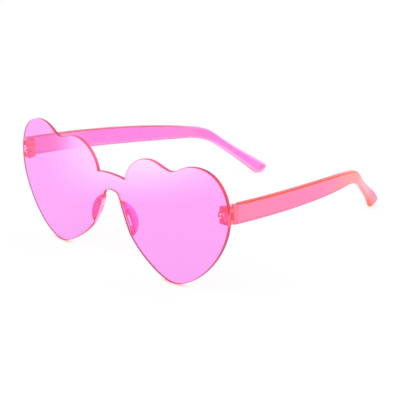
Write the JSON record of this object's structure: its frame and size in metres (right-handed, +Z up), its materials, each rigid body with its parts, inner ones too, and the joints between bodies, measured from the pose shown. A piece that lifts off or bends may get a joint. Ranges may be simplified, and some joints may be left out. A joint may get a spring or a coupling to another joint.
{
  "type": "sunglasses",
  "caption": "Rimless sunglasses with heart-shaped lenses cut from a curved tinted sheet, nose pads stuck to its back, and temples that fold on hinges at its sides.",
  "frame": {"origin": "on the table under the middle of the box, with the temples open and the hearts' tips and the temples' tips on the table", "axes": "+X towards the wearer's left, -Y out of the front of the lens, +Z up"},
  "size_m": [0.1402, 0.1336, 0.0542],
  "materials": {
    "lens": "clear, tinted pink, polished faces, edges that glow red to orange",
    "nose_pad": "clear moulded plastic, tinted pink",
    "end_piece": "clear moulded plastic, tinted coral",
    "hinge_screw": "bright turned steel",
    "temple": "clear moulded plastic, tinted coral pink, smooth gloss"
  },
  "bodies": {
    "front": {"lens_shield": "lens", "nose_pad_left": "nose_pad", "nose_pad_right": "nose_pad", "end_piece_left": "end_piece", "end_piece_right": "end_piece", "hinge_screw_left": "hinge_screw", "hinge_screw_right": "hinge_screw"},
    "left_temple": {"temple_left": "temple"},
    "right_temple": {"temple_right": "temple"}
  },
  "joints": [
    {"name": "left_temple_fold", "type": "hinge", "parent": "front", "child": "left_temple", "pos_m": [0.0669, -0.05731, 0.03612], "axis": [0, 0.0419, 0.9991], "range_deg": [0, 76]},
    {"name": "right_temple_fold", "type": "hinge", "parent": "front", "child": "right_temple", "pos_m": [-0.0669, -0.05731, 0.03612], "axis": [0, -0.0419, -0.9991], "range_deg": [0, 68]}
  ]
}
